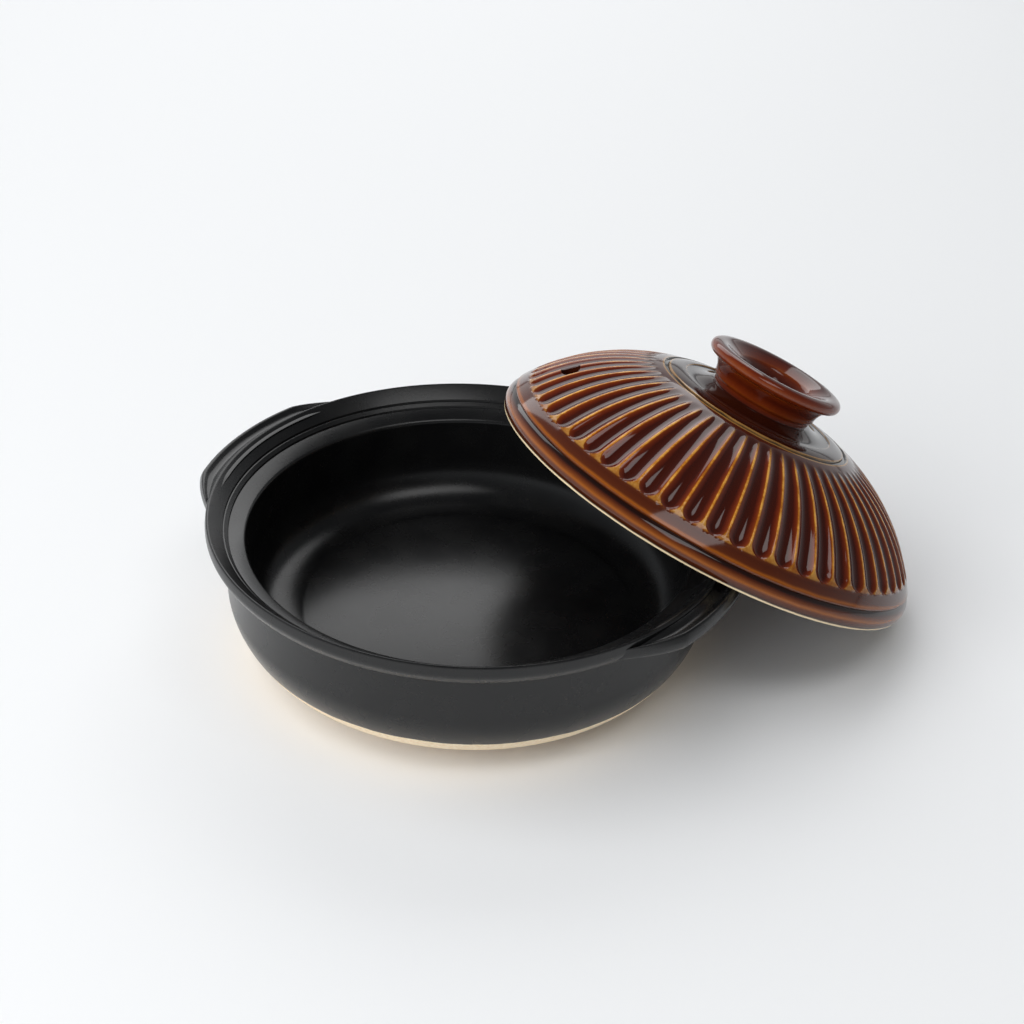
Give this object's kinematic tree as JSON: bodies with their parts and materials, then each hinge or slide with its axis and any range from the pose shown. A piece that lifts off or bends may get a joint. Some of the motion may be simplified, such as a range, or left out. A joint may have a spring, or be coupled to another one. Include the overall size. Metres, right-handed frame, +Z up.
{
  "type": "clay cooking pot",
  "caption": "Shallow round clay cooking pot with a stepped rim and ear lugs, and a fluted domed lid leaning tilted against it.",
  "frame": {"origin": "centre of the foot ring on the table", "axes": "+Z up along the pot's axis, +X through the right lug, +Y towards the back where the lid lies"},
  "size_m": [0.3196, 0.3232, 0.1326],
  "materials": {
    "black_glaze": "satin",
    "bare_clay": "matte",
    "amber_glaze": "gloss"
  },
  "bodies": {
    "pot": {"pot_bowl": "black_glaze", "foot_ring": "bare_clay", "left_lug": "black_glaze", "right_lug": "black_glaze"},
    "lid": {"lid_dome": "amber_glaze", "lid_knob": "amber_glaze"}
  },
  "joints": [
    {"name": "lid_lift", "type": "slide", "parent": "pot", "child": "lid", "axis": [0, 0, 1], "range_m": [0, 0.15]}
  ]
}
